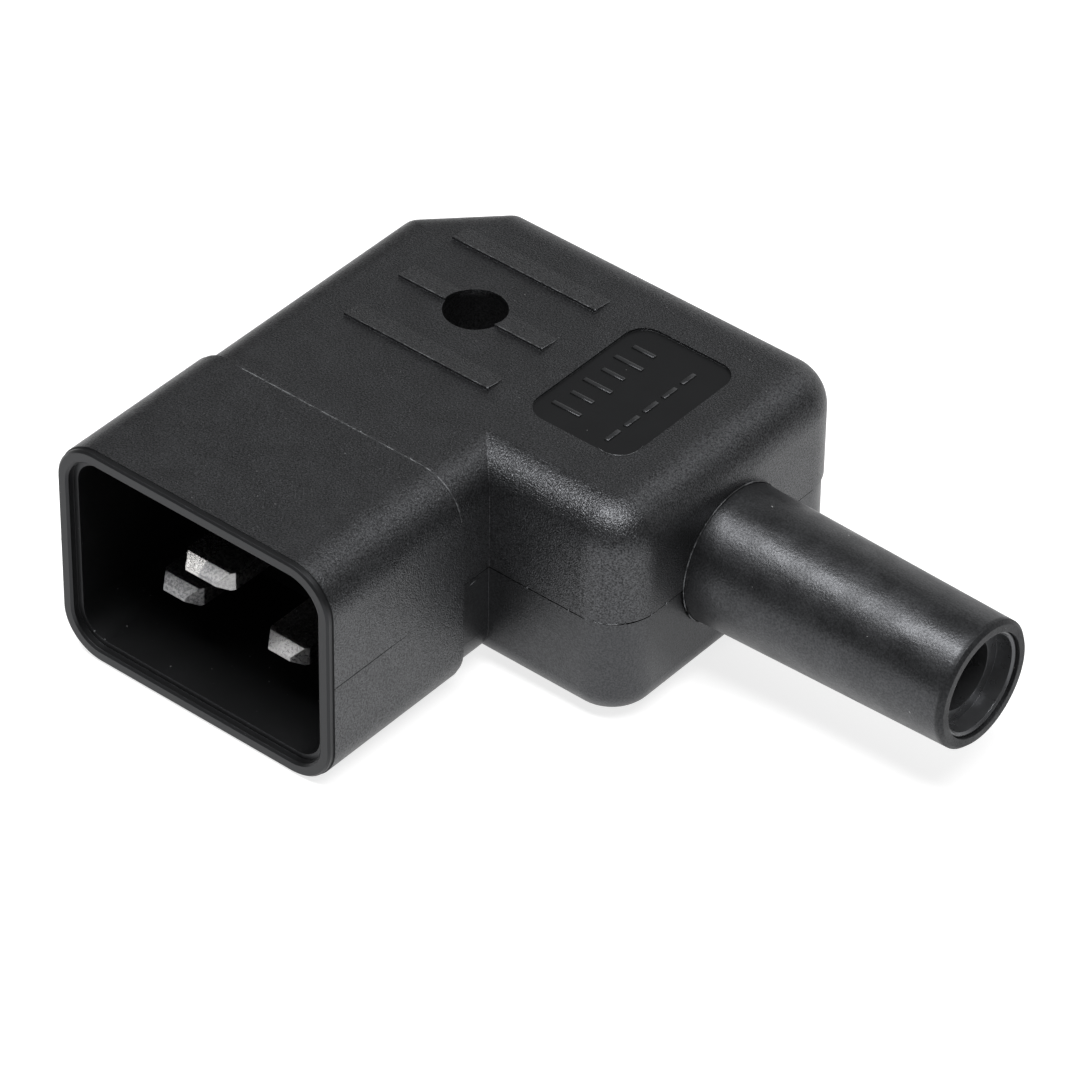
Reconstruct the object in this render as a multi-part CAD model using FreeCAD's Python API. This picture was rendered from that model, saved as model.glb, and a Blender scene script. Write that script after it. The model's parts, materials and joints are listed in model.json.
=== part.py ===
import FreeCAD, Part
import math
import os

from FreeCAD import Vector

# Angled rewirable mains plug, 16 A, with a shrouded face and three flat blades.
# Frame: the origin is the middle of the shroud's mouth. -Y is the way the plug faces,
# +X is the way the cord leaves, +Z is up. Sizes are in millimetres.

# Shroud
SHROUD_WIDTH = 33.25
SHROUD_HEIGHT = 24.85
SHROUD_CORNER = 4.8
SHROUD_DEPTH = 18.8
SHROUD_REAR_BEVEL = 0.5
LIP_LENGTH = 0.7
LIP_STEP = 0.12
LIP_BEVEL = 0.2
MOUTH_SIDE_RIM = 1.125
MOUTH_TOP_RIM = 1.225
MOUTH_BEVEL = 0.22
MOUTH_CORNER = 3.48
MOUTH_DEPTH = 0.85
MOUTH_LEDGE = 0.63
SOCKET_DEPTH = 17.8
BASE_THICKNESS = 3.0
SKIRT_WALL = 1.5
SKIRT_LENGTH = 5.6
COLLAR_FRONT = 2.0
COLLAR_LENGTH = 1.5
COLLAR_HEIGHT = 0.9

# Housing: a tube behind the shroud, and an arm that turns to the cord
HOUSING_STEP = 0.525
HOUSING_ROUND = 4.3
UNDERSIDE_ROUND = 3.0
HOUSING_BACK = 56.2
HOUSING_WALL = 2.2
BACK_BEVEL = 8.0
BACK_BEVEL_ROUND = 1.5
ARM_FRONT = 22.85
ARM_REACH = 15.7
ARM_FRONT_ROUND = 4.9
ARM_BACK_ROUND = 5.1
ARM_ROOT = 1.0
PARTING_STEP = 0.2
PARTING_GROOVE_WIDTH = 0.16
PARTING_GROOVE_DEPTH = 0.4
TONGUE_HEIGHT = 1.2
TONGUE_THICKNESS = 0.9

# Grip ramps, rating recess and the well of the housing screw, all on the upper shell
GRIP_COUNT = 3
GRIP_PITCH = 7.8
GRIP_LENGTH = 17.6
GRIP_HEIGHT = 0.28
GRIP_RAMP = 2.4
GRIP_FIRST = 31.15
RECESS_LENGTH = 17.3
RECESS_WIDTH = 12.0
RECESS_CORNER = 2.3
RECESS_DEPTH = 0.25
RECESS_INSET_X = 2.85
RECESS_CENTRE_Y = 39.8
WELL_DIAMETER = 6.3
WELL_DEPTH = 9.4
WELL_WALL = 1.7
HOUSING_SCREW_Y = 39.8

# Blades: two for the supply, one for earth
BLADE_THICKNESS = 2.0
BLADE_SPACING = 13.0
SUPPLY_BLADE_WIDTH = 4.75
EARTH_BLADE_WIDTH = 5.8
SUPPLY_BLADE_TIP = 4.5
EARTH_BLADE_TIP = 1.25
SUPPLY_BLADE_Z = -4.0
EARTH_OFFSET = 7.7
TIP_SIDE_BEVEL = 1.05
TIP_SIDE_BEVEL_LENGTH = 1.6
TIP_FACE_BEVEL = 0.8
TIP_FACE_BEVEL_LENGTH = 1.2

# Terminals
CONTACT_PLATE_THICKNESS = 2.4
TERMINAL_WIDTH = 6.8
TERMINAL_FLOOR = 0.7
TERMINAL_ROOF = 2.3
TERMINAL_HEAD_ROOM = 0.72
TERMINAL_LENGTH = 9.0
WIRE_CHAMBER_WIDTH = 3.4
WIRE_CHAMBER_DEPTH = 7.0
WIRE_PLATE_THICKNESS = 0.6
WIRE_PLATE_LENGTH = 4.4
TERMINAL_SCREW = 3.5
TERMINAL_SCREW_SETBACK = 4.2
TERMINAL_SCREW_HEAD = 5.2
TERMINAL_SCREW_HEAD_HEIGHT = 1.8

# Cord sleeve, its bush and the cord clamp
CORD_OFFSET = 0.475
SLEEVE_ROOT_RADIUS = 7.1
SLEEVE_MOUTH_RADIUS = 6.48
SLEEVE_LENGTH = 29.05
SLEEVE_MOUTH_BEVEL = 0.35
SLEEVE_BORE = 4.4
SLEEVE_FLANGE_RADIUS = 8.2
SLEEVE_FLANGE_BEVEL = 0.6
SLEEVE_FLANGE_LENGTH = 2.6
BUSH_RADIUS = 5.25
BUSH_LENGTH = 8.0
BUSH_SETBACK = 0.35
BUSH_MOUTH_RADIUS = 4.9
BUSH_MOUTH_DEPTH = 1.9
BUSH_BORE_RADIUS = 3.55
BUSH_LIP_BEVEL = 0.2
FLANGE_RIB = 1.6
CLAMP_SETBACK = 10.3
CLAMP_WIDTH = 6.0
CLAMP_THICKNESS = 2.6
CLAMP_LENGTH = 21.6
CLAMP_SCREW_SPACING = 15.6
CLAMP_SEAT_Z = 2.6
CLAMP_CORD_RADIUS = 4.6
CLAMP_BOSS = 6.0
CLAMP_SCREW = 3.0
CLAMP_SCREW_HEAD = 5.4
CLAMP_SCREW_HEAD_HEIGHT = 2.0
CLAMP_SCREW_LENGTH = 9.0

# Housing screw and the threaded insert it pulls on
HOUSING_SCREW = 3.5
HOUSING_SCREW_HEAD = 5.8
HOUSING_SCREW_HEAD_HEIGHT = 2.4
HOUSING_SCREW_LENGTH = 10.4
INSERT_DIAMETER = 5.6
INSERT_LENGTH = 6.0
DRIVE_SLOT_WIDTH = 0.8
DRIVE_SLOT_DEPTH = 0.9

# Clearances
SEAM_GAP = 0.1
FIT = 0.1
BLADE_FIT = 0.05
SCREW_FIT = 0.08
REACH = 5.0

# Places worked out from the sizes above
MOUTH_WIDTH = SHROUD_WIDTH - 2 * (MOUTH_SIDE_RIM + MOUTH_BEVEL)
MOUTH_HEIGHT = SHROUD_HEIGHT - 2 * (MOUTH_TOP_RIM + MOUTH_BEVEL)
HOUSING_WIDTH = SHROUD_WIDTH - 2 * HOUSING_STEP
HOUSING_HEIGHT = SHROUD_HEIGHT - 2 * HOUSING_STEP
HALF_WIDTH = HOUSING_WIDTH / 2
HALF_HEIGHT = HOUSING_HEIGHT / 2
ARM_END = HALF_WIDTH + ARM_REACH
RECESS_CENTRE_X = HALF_WIDTH + RECESS_INSET_X
CORD_Y = (ARM_FRONT + HOUSING_BACK) / 2 - CORD_OFFSET
CLAMP_X = ARM_END - CLAMP_SETBACK
SLEEVE_MOUTH_X = ARM_END + SLEEVE_LENGTH
HOUSING_FRONT = SHROUD_DEPTH + SEAM_GAP
TUBE_END = ARM_FRONT + HOUSING_ROUND + ARM_ROOT
ARM_ROOT_X = HALF_WIDTH - HOUSING_ROUND - ARM_ROOT
BASE_REAR = SOCKET_DEPTH + BASE_THICKNESS
SKIRT_REAR = SHROUD_DEPTH + SKIRT_LENGTH
PLUG_WIDTH = HOUSING_WIDTH - 2 * (HOUSING_WALL + FIT)
PLUG_HEIGHT = HOUSING_HEIGHT - 2 * (HOUSING_WALL + FIT)
PLUG_CORNER = HOUSING_ROUND - HOUSING_WALL
EARTH_BLADE_Z = SUPPLY_BLADE_Z + EARTH_OFFSET
PLATE_FRONT = BASE_REAR + FIT
TERMINAL_FRONT = PLATE_FRONT + CONTACT_PLATE_THICKNESS + BLADE_FIT
TERMINAL_SCREW_Y = TERMINAL_FRONT + TERMINAL_SCREW_SETBACK
EARTH_TERMINAL_ROOM = HALF_HEIGHT - HOUSING_WALL - EARTH_BLADE_Z - TERMINAL_HEAD_ROOM
TERMINAL_HEIGHT = 2 * (EARTH_TERMINAL_ROOM - TERMINAL_SCREW_HEAD_HEIGHT - SCREW_FIT)
CHAMBER_TOP = TERMINAL_HEIGHT / 2 - TERMINAL_ROOF
CHAMBER_BOTTOM = TERMINAL_FLOOR - TERMINAL_HEIGHT / 2
WALL_INSIDE_X = ARM_END - HOUSING_WALL
FLANGE_END = WALL_INSIDE_X - FIT
FLANGE_START = FLANGE_END - SLEEVE_FLANGE_LENGTH
BUSH_END = SLEEVE_MOUTH_X - BUSH_SETBACK
BUSH_START = BUSH_END - BUSH_LENGTH
WELL_FLOOR = HALF_HEIGHT - WELL_DEPTH
BOSS_DIAMETER = WELL_DIAMETER + 2 * WELL_WALL


def edges_where(shape, test):
    """The edges of a shape whose two ends both pass a test."""
    return [edge for edge in shape.Edges if all(test(v.Point) for v in edge.Vertexes)]


def rounded_bar(width, height, radius, y_start, y_end):
    """A bar along Y with a rounded rectangular section, centred on the Y axis."""
    corner = Vector(-width / 2, y_start, -height / 2)
    bar = Part.makeBox(width, y_end - y_start, height, corner)
    long_edges = [edge for edge in bar.Edges if abs(edge.tangentAt(edge.FirstParameter).y) > 0.99]
    return bar.makeFillet(radius, long_edges)


def block(x_start, x_end, y_start, y_end, z_start, z_end):
    """A plain block between two corners."""
    size = (x_end - x_start, y_end - y_start, z_end - z_start)
    return Part.makeBox(*size, Vector(x_start, y_start, z_start))


def post(x, y, z_start, z_end, diameter):
    """A round post or hole along Z."""
    return Part.makeCylinder(diameter / 2, z_end - z_start, Vector(x, y, z_start), Vector(0, 0, 1))


def cord_cylinder(radius, x_start, x_end):
    """A round solid along the cord's axis."""
    return Part.makeCylinder(radius, x_end - x_start, Vector(x_start, CORD_Y, 0), Vector(1, 0, 0))


def cord_cone(radius_start, radius_end, x_start, x_end):
    """A tapered round solid along the cord's axis."""
    start = Vector(x_start, CORD_Y, 0)
    return Part.makeCone(radius_start, radius_end, x_end - x_start, start, Vector(1, 0, 0))


def half_space(side):
    """Everything above the parting plane (side 1) or below it (side -1)."""
    z_start, z_end = sorted((0, side * SHROUD_HEIGHT))
    return block(-2 * SHROUD_WIDTH, 2 * SLEEVE_MOUTH_X, -REACH, 2 * HOUSING_BACK, z_start, z_end)


def arm_outline(inset):
    """Plan of the rear block and the arm on the parting plane, moved inwards by inset."""
    left = -HALF_WIDTH + inset
    right = ARM_END - inset
    back = HOUSING_BACK - inset
    front = ARM_FRONT + inset
    bevel_line = HALF_WIDTH + HOUSING_BACK - BACK_BEVEL - inset * math.sqrt(2)
    back_round = ARM_BACK_ROUND - inset
    front_round = ARM_FRONT_ROUND - inset

    def corner_middle(x, y, radius, along_y):
        reach = radius * math.sqrt(0.5)
        return Vector(x + reach, y + along_y * reach, 0)

    start = Vector(left, TUBE_END, 0)
    bevel_low = Vector(left, bevel_line + left, 0)
    bevel_high = Vector(back - bevel_line, back, 0)
    back_in = Vector(right - back_round, back, 0)
    back_mid = corner_middle(right - back_round, back - back_round, back_round, 1)
    back_out = Vector(right, back - back_round, 0)
    front_in = Vector(right, front + front_round, 0)
    front_mid = corner_middle(right - front_round, front + front_round, front_round, -1)
    front_out = Vector(right - front_round, front, 0)
    root_front = Vector(ARM_ROOT_X, front, 0)
    root_back = Vector(ARM_ROOT_X, TUBE_END, 0)
    edges = [
        Part.LineSegment(start, bevel_low),
        Part.LineSegment(bevel_low, bevel_high),
        Part.LineSegment(bevel_high, back_in),
        Part.Arc(back_in, back_mid, back_out),
        Part.LineSegment(back_out, front_in),
        Part.Arc(front_in, front_mid, front_out),
        Part.LineSegment(front_out, root_front),
        Part.LineSegment(root_front, root_back),
        Part.LineSegment(root_back, start),
    ]
    return Part.Wire([edge.toShape() for edge in edges])


def outer_rim(arm, z):
    """Edges round the flat top or bottom of the arm, except those that lie inside the tube."""
    rim = []
    for edge in edges_where(arm, lambda p: abs(p.z - z) < 1e-6):
        middle = edge.valueAt((edge.FirstParameter + edge.LastParameter) / 2)
        if middle.y > TUBE_END + 1e-6 or middle.x > ARM_ROOT_X + 1e-6:
            rim.append(edge)
    return rim


def housing_half(side, inset, rounded=True):
    """Solid half of the housing, above (1) or below (-1) the parting plane."""
    height = HALF_HEIGHT - inset
    radius = HOUSING_ROUND - inset
    rim_radius = radius if side > 0 else UNDERSIDE_ROUND - inset
    arm = Part.Face(arm_outline(inset)).extrude(Vector(0, 0, side * height))
    bevel_ends = edges_where(arm, lambda p: p.x < 0 and p.y > TUBE_END + 1)
    upright = [edge for edge in bevel_ends if abs(edge.tangentAt(edge.FirstParameter).z) > 0.99]
    arm = arm.makeFillet(max(BACK_BEVEL_ROUND - inset, 0.3), upright)
    if rounded:
        arm = arm.makeFillet(rim_radius, outer_rim(arm, side * height))
    tube = rounded_bar(HOUSING_WIDTH - 2 * inset, 2 * height, radius, HOUSING_FRONT, TUBE_END)
    return tube.common(half_space(side)).fuse(arm).removeSplitter()


def housing_hollow(side):
    """The space inside one shell: its own hollow, open to the front for the shroud's skirt."""
    inner = housing_half(side, HOUSING_WALL, rounded=False)
    mouth = rounded_bar(PLUG_WIDTH + 2 * FIT, PLUG_HEIGHT + 2 * FIT, PLUG_CORNER,
                        HOUSING_FRONT - REACH, HOUSING_FRONT + REACH)
    return inner.fuse(mouth.common(half_space(side)))


def collar_groove(side):
    """Groove round the inside of the tube that holds the shroud's collar."""
    width = PLUG_WIDTH + 2 * (COLLAR_HEIGHT + FIT)
    height = PLUG_HEIGHT + 2 * (COLLAR_HEIGHT + FIT)
    start = SHROUD_DEPTH + COLLAR_FRONT - FIT
    end = SHROUD_DEPTH + COLLAR_FRONT + COLLAR_LENGTH + FIT
    groove = rounded_bar(width, height, PLUG_CORNER + COLLAR_HEIGHT, start, end)
    return groove.common(half_space(side))


def flange_rib(side):
    """Rib behind the sleeve's flange, so that a pull on the cord can't draw it out."""
    rib_start = FLANGE_START - FIT - FLANGE_RIB
    width = 2 * SLEEVE_FLANGE_RADIUS
    edge = HALF_HEIGHT - HOUSING_WALL / 2
    z_start, z_end = sorted((0, side * edge))
    rib = block(rib_start, rib_start + FLANGE_RIB, CORD_Y - width / 2 - REACH,
                CORD_Y + width / 2 + REACH, z_start, z_end)
    return rib.cut(cord_cylinder(SLEEVE_ROOT_RADIUS, rib_start - 1, FLANGE_START + 1))


def shell(side, inset):
    """One shell of the housing with the seats that both shells have."""
    body = housing_half(side, inset).cut(housing_hollow(side))
    rib = flange_rib(side).common(housing_half(side, HOUSING_WALL / 2))
    body = body.fuse(rib).cut(collar_groove(side))
    return body.cut(cord_cylinder(SLEEVE_ROOT_RADIUS + FIT, WALL_INSIDE_X - 1, ARM_END + 1))


def grips():
    """Ramped ridges for the fingers: each rises in a step and runs out to nothing."""
    top = HALF_HEIGHT
    ridges = []
    for index in range(GRIP_COUNT):
        y = GRIP_FIRST + index * GRIP_PITCH
        profile = Part.makePolygon([
            Vector(-GRIP_LENGTH / 2, y, top - GRIP_HEIGHT),
            Vector(-GRIP_LENGTH / 2, y, top + GRIP_HEIGHT),
            Vector(-GRIP_LENGTH / 2, y + GRIP_RAMP, top),
            Vector(-GRIP_LENGTH / 2, y + GRIP_RAMP, top - GRIP_HEIGHT),
            Vector(-GRIP_LENGTH / 2, y, top - GRIP_HEIGHT),
        ])
        ridges.append(Part.Face(profile).extrude(Vector(GRIP_LENGTH, 0, 0)))
    return ridges


def rating_recess():
    """Shallow smooth field on top of the arm."""
    x = RECESS_CENTRE_X
    y = RECESS_CENTRE_Y
    field = block(x - RECESS_WIDTH / 2, x + RECESS_WIDTH / 2, y - RECESS_LENGTH / 2,
                  y + RECESS_LENGTH / 2, HALF_HEIGHT - RECESS_DEPTH, HALF_HEIGHT + REACH)
    upright = [edge for edge in field.Edges if abs(edge.tangentAt(edge.FirstParameter).z) > 0.99]
    return field.makeFillet(RECESS_CORNER, upright)


def make_upper_shell():
    """Upper shell with the grips, the rating recess and the well of the housing screw."""
    body = shell(1, 0)
    boss = post(0, HOUSING_SCREW_Y, 0, HALF_HEIGHT - HOUSING_WALL / 2, BOSS_DIAMETER)
    body = body.fuse([boss] + grips())
    well = post(0, HOUSING_SCREW_Y, WELL_FLOOR, HALF_HEIGHT + REACH, WELL_DIAMETER)
    shank_hole = post(0, HOUSING_SCREW_Y, -1, WELL_FLOOR + 1, HOUSING_SCREW + 2 * FIT)
    body = body.cut([well, shank_hole, rating_recess(), tongue(FIT)])
    return body.removeSplitter()


def tongue(clearance):
    """Tongue of the lower shell, which stands inside the upper shell's edge."""
    outer = housing_half(1, HOUSING_WALL - TONGUE_THICKNESS - clearance)
    ring = outer.cut(housing_half(1, HOUSING_WALL, rounded=False))
    slice_end = TONGUE_HEIGHT + clearance
    slab = block(-SHROUD_WIDTH, ARM_END + 1, TUBE_END, HOUSING_BACK, 0, slice_end)
    ring = ring.common(slab)
    return ring.cut(cord_cylinder(SLEEVE_FLANGE_RADIUS + 1, FLANGE_START, ARM_END + 1))


def clamp_bosses():
    """The two posts that the cord clamp is screwed to."""
    floor = -HALF_HEIGHT + HOUSING_WALL / 2
    top = CLAMP_SEAT_Z - FIT
    half = CLAMP_SCREW_SPACING / 2
    return [post(CLAMP_X, CORD_Y + end * half, floor, top, CLAMP_BOSS) for end in (-1, 1)]


def cord_saddle():
    """Rib under the clamp, hollowed to the cord."""
    half = CLAMP_WIDTH / 4
    rib = block(CLAMP_X - half, CLAMP_X + half, CORD_Y - CLAMP_SCREW_SPACING / 2,
                CORD_Y + CLAMP_SCREW_SPACING / 2, -HALF_HEIGHT + HOUSING_WALL / 2, -FIT)
    return rib.cut(cord_cylinder(CLAMP_CORD_RADIUS, CLAMP_X - REACH, CLAMP_X + REACH))


def parting_groove():
    """Shadow line round the outside, where the two shells meet."""
    seat = housing_half(-1, PARTING_STEP + PARTING_GROOVE_DEPTH, rounded=False)
    slab = block(-SHROUD_WIDTH, ARM_END + 1, HOUSING_FRONT - 1, HOUSING_BACK, -PARTING_GROOVE_WIDTH, 0)
    return slab.cut(seat)


def make_lower_shell():
    """Lower shell with the tongue, the clamp's posts and the boss for the threaded insert."""
    body = shell(-1, PARTING_STEP).cut(parting_groove())
    boss = post(0, HOUSING_SCREW_Y, -HALF_HEIGHT + HOUSING_WALL / 2, -FIT, BOSS_DIAMETER)
    body = body.fuse([boss, cord_saddle(), tongue(0)] + clamp_bosses())
    insert_hole = post(0, HOUSING_SCREW_Y, -INSERT_LENGTH - 2 * FIT, 1, INSERT_DIAMETER + FIT)
    tip_hole = post(0, HOUSING_SCREW_Y, WELL_FLOOR - HOUSING_SCREW_LENGTH - 1, 0, HOUSING_SCREW + FIT)
    cuts = [insert_hole, tip_hole]
    for end in (-1, 1):
        y = CORD_Y + end * CLAMP_SCREW_SPACING / 2
        depth = CLAMP_SEAT_Z + CLAMP_THICKNESS - CLAMP_SCREW_LENGTH - 1
        cuts.append(post(CLAMP_X, y, depth, CLAMP_SEAT_Z + 1, CLAMP_SCREW + 2 * SCREW_FIT))
    return body.cut(cuts).removeSplitter()


def blade_places():
    """Name, width, tip, x and z of each blade."""
    half = BLADE_SPACING / 2
    return [
        ("line", SUPPLY_BLADE_WIDTH, SUPPLY_BLADE_TIP, -half, SUPPLY_BLADE_Z),
        ("neutral", SUPPLY_BLADE_WIDTH, SUPPLY_BLADE_TIP, half, SUPPLY_BLADE_Z),
        ("earth", EARTH_BLADE_WIDTH, EARTH_BLADE_TIP, 0, EARTH_BLADE_Z),
    ]


def blade_slots(y_start, y_end):
    """Slots for the three blades."""
    slots = []
    for name, width, tip, x, z in blade_places():
        half_width = width / 2 + BLADE_FIT
        half_height = BLADE_THICKNESS / 2 + BLADE_FIT
        slots.append(block(x - half_width, x + half_width, y_start, y_end,
                           z - half_height, z + half_height))
    return slots


def make_shroud_insert():
    """Shroud, base and skirt in one moulding, with the collar that the shells grip."""
    step = 2 * LIP_STEP
    lip = rounded_bar(SHROUD_WIDTH - step, SHROUD_HEIGHT - step, SHROUD_CORNER - LIP_STEP,
                      0, SHROUD_DEPTH)
    lip = lip.makeChamfer(LIP_BEVEL, edges_where(lip, lambda p: abs(p.y) < 1e-6))
    wall = rounded_bar(SHROUD_WIDTH, SHROUD_HEIGHT, SHROUD_CORNER, LIP_LENGTH, SHROUD_DEPTH)
    rear = edges_where(wall, lambda p: abs(p.y - SHROUD_DEPTH) < 1e-6)
    wall = wall.makeChamfer(SHROUD_REAR_BEVEL, rear)
    skirt = rounded_bar(PLUG_WIDTH, PLUG_HEIGHT, PLUG_CORNER, SHROUD_DEPTH - 1, SKIRT_REAR)
    collar_start = SHROUD_DEPTH + COLLAR_FRONT
    collar = rounded_bar(PLUG_WIDTH + 2 * COLLAR_HEIGHT, PLUG_HEIGHT + 2 * COLLAR_HEIGHT,
                         PLUG_CORNER + COLLAR_HEIGHT - FIT, collar_start, collar_start + COLLAR_LENGTH)
    body = lip.fuse([wall, skirt, collar])
    mouth = rounded_bar(MOUTH_WIDTH, MOUTH_HEIGHT, MOUTH_CORNER, -1, MOUTH_DEPTH)
    body = body.cut(mouth)
    inner_edge = edges_where(body, lambda p: abs(p.y) < 1e-6 and abs(p.x) < MOUTH_WIDTH / 2 + 1e-6
                             and abs(p.z) < MOUTH_HEIGHT / 2 + 1e-6)
    body = body.makeChamfer(MOUTH_BEVEL, inner_edge)
    ledge = 2 * MOUTH_LEDGE
    socket = rounded_bar(MOUTH_WIDTH - ledge, MOUTH_HEIGHT - ledge, MOUTH_CORNER - MOUTH_LEDGE,
                         -1, SOCKET_DEPTH)
    pocket = rounded_bar(PLUG_WIDTH - 2 * SKIRT_WALL, PLUG_HEIGHT - 2 * SKIRT_WALL,
                         PLUG_CORNER / 2, BASE_REAR, SKIRT_REAR + 1)
    slots = blade_slots(SOCKET_DEPTH - 1, BASE_REAR + 1)
    return body.cut([socket, pocket] + slots).removeSplitter()


def make_contact_plate():
    """Plate that closes the skirt behind the base and steadies the blades."""
    width = PLUG_WIDTH - 2 * SKIRT_WALL - 2 * FIT
    height = PLUG_HEIGHT - 2 * SKIRT_WALL - 2 * FIT
    end = PLATE_FRONT + CONTACT_PLATE_THICKNESS
    plate = rounded_bar(width, height, PLUG_CORNER / 2 - FIT, PLATE_FRONT, end)
    return plate.cut(blade_slots(PLATE_FRONT - 1, end + 1)).removeSplitter()


def make_blade(width, tip, x, z):
    """Flat blade with a four-sided bevelled tip and its terminal block in one piece."""
    half = width / 2
    rear = TERMINAL_FRONT + 1
    shoulder = tip + TIP_SIDE_BEVEL_LENGTH
    plan = Part.makePolygon([
        Vector(x - half, rear, z - BLADE_THICKNESS),
        Vector(x - half, shoulder, z - BLADE_THICKNESS),
        Vector(x - half + TIP_SIDE_BEVEL, tip, z - BLADE_THICKNESS),
        Vector(x + half - TIP_SIDE_BEVEL, tip, z - BLADE_THICKNESS),
        Vector(x + half, shoulder, z - BLADE_THICKNESS),
        Vector(x + half, rear, z - BLADE_THICKNESS),
        Vector(x - half, rear, z - BLADE_THICKNESS),
    ])
    seen_from_above = Part.Face(plan).extrude(Vector(0, 0, 2 * BLADE_THICKNESS))
    top = BLADE_THICKNESS / 2
    slope_end = tip + TIP_FACE_BEVEL_LENGTH
    side = Part.makePolygon([
        Vector(x - width, rear, z - top),
        Vector(x - width, rear, z + top),
        Vector(x - width, slope_end, z + top),
        Vector(x - width, tip, z + top - TIP_FACE_BEVEL),
        Vector(x - width, tip, z - top + TIP_FACE_BEVEL),
        Vector(x - width, slope_end, z - top),
        Vector(x - width, rear, z - top),
    ])
    seen_from_side = Part.Face(side).extrude(Vector(2 * width, 0, 0))
    blade = seen_from_above.common(seen_from_side)
    terminal_rear = TERMINAL_FRONT + TERMINAL_LENGTH
    terminal = block(x - TERMINAL_WIDTH / 2, x + TERMINAL_WIDTH / 2, TERMINAL_FRONT,
                     terminal_rear, z - TERMINAL_HEIGHT / 2, z + TERMINAL_HEIGHT / 2)
    half_chamber = WIRE_CHAMBER_WIDTH / 2
    chamber = block(x - half_chamber, x + half_chamber, terminal_rear - WIRE_CHAMBER_DEPTH,
                    terminal_rear + 1, z + CHAMBER_BOTTOM, z + CHAMBER_TOP)
    chamber_middle = z + (CHAMBER_BOTTOM + CHAMBER_TOP) / 2
    screw_hole = post(x, TERMINAL_SCREW_Y, chamber_middle, z + TERMINAL_HEIGHT,
                      TERMINAL_SCREW + 2 * SCREW_FIT)
    return blade.fuse(terminal).cut([chamber, screw_hole]).removeSplitter()


def slotted_screw(x, y, seat_z, head, head_height, shank, length):
    """Cheese-head screw that points down, with its head seated at seat_z."""
    head_solid = post(x, y, seat_z, seat_z + head_height, head)
    top_rim = edges_where(head_solid, lambda p: abs(p.z - seat_z - head_height) < 1e-6)
    head_solid = head_solid.makeChamfer(head_height / 6, top_rim)
    shank_solid = post(x, y, seat_z - length, seat_z + head_height / 2, shank)
    tip = edges_where(shank_solid, lambda p: abs(p.z - seat_z + length) < 1e-6)
    shank_solid = shank_solid.makeChamfer(shank / 6, tip)
    slot = block(x - DRIVE_SLOT_WIDTH / 2, x + DRIVE_SLOT_WIDTH / 2, y - head, y + head,
                 seat_z + head_height - DRIVE_SLOT_DEPTH, seat_z + head_height + 1)
    return head_solid.fuse(shank_solid).cut(slot).removeSplitter()


def make_terminal_screw(x, z):
    """Pinch screw of one terminal, which ends on the wire plate."""
    seat = TERMINAL_HEIGHT / 2 + SCREW_FIT
    length = seat - CHAMBER_TOP + FIT - SCREW_FIT
    return slotted_screw(x, TERMINAL_SCREW_Y, z + seat, TERMINAL_SCREW_HEAD,
                         TERMINAL_SCREW_HEAD_HEIGHT, TERMINAL_SCREW, length)


def make_wire_plate(x, z):
    """Plate at the top of one terminal's chamber that the screw presses on the wire."""
    half_width = WIRE_CHAMBER_WIDTH / 2 - FIT
    half_length = WIRE_PLATE_LENGTH / 2
    top = z + CHAMBER_TOP - FIT
    return block(x - half_width, x + half_width, TERMINAL_SCREW_Y - half_length,
                 TERMINAL_SCREW_Y + half_length, top - WIRE_PLATE_THICKNESS, top)


def make_cord_sleeve():
    """Rubber sleeve that leads the cord out, with the flange that the shells hold."""
    outer = cord_cone(SLEEVE_ROOT_RADIUS, SLEEVE_MOUTH_RADIUS, ARM_END, SLEEVE_MOUTH_X)
    mouth_rim = edges_where(outer, lambda p: abs(p.x - SLEEVE_MOUTH_X) < 1e-6)
    outer = outer.makeChamfer(SLEEVE_MOUTH_BEVEL, mouth_rim)
    root = cord_cylinder(SLEEVE_ROOT_RADIUS, FLANGE_START, ARM_END)
    flange = cord_cylinder(SLEEVE_FLANGE_RADIUS, FLANGE_START, FLANGE_END)
    flange = flange.makeChamfer(SLEEVE_FLANGE_BEVEL, edges_where(flange, lambda p: p.x > 0))
    passage = cord_cylinder(SLEEVE_BORE, FLANGE_START - 1, BUSH_START + 1)
    bush_seat = cord_cylinder(BUSH_RADIUS + FIT, BUSH_START - FIT, SLEEVE_MOUTH_X + 1)
    return outer.fuse([root, flange]).cut([passage, bush_seat]).removeSplitter()


def make_cord_bush():
    """Bush in the sleeve's mouth that fits the sleeve to the cord."""
    body = cord_cylinder(BUSH_RADIUS, BUSH_START, BUSH_END)
    counterbore = cord_cylinder(BUSH_MOUTH_RADIUS, BUSH_END - BUSH_MOUTH_DEPTH, BUSH_END + 1)
    lead_in = cord_cone(BUSH_MOUTH_RADIUS, BUSH_MOUTH_RADIUS + BUSH_LIP_BEVEL,
                        BUSH_END - BUSH_LIP_BEVEL, BUSH_END)
    bore = cord_cylinder(BUSH_BORE_RADIUS, BUSH_START - 1, BUSH_END + 1)
    return body.cut([counterbore, lead_in, bore]).removeSplitter()


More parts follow.
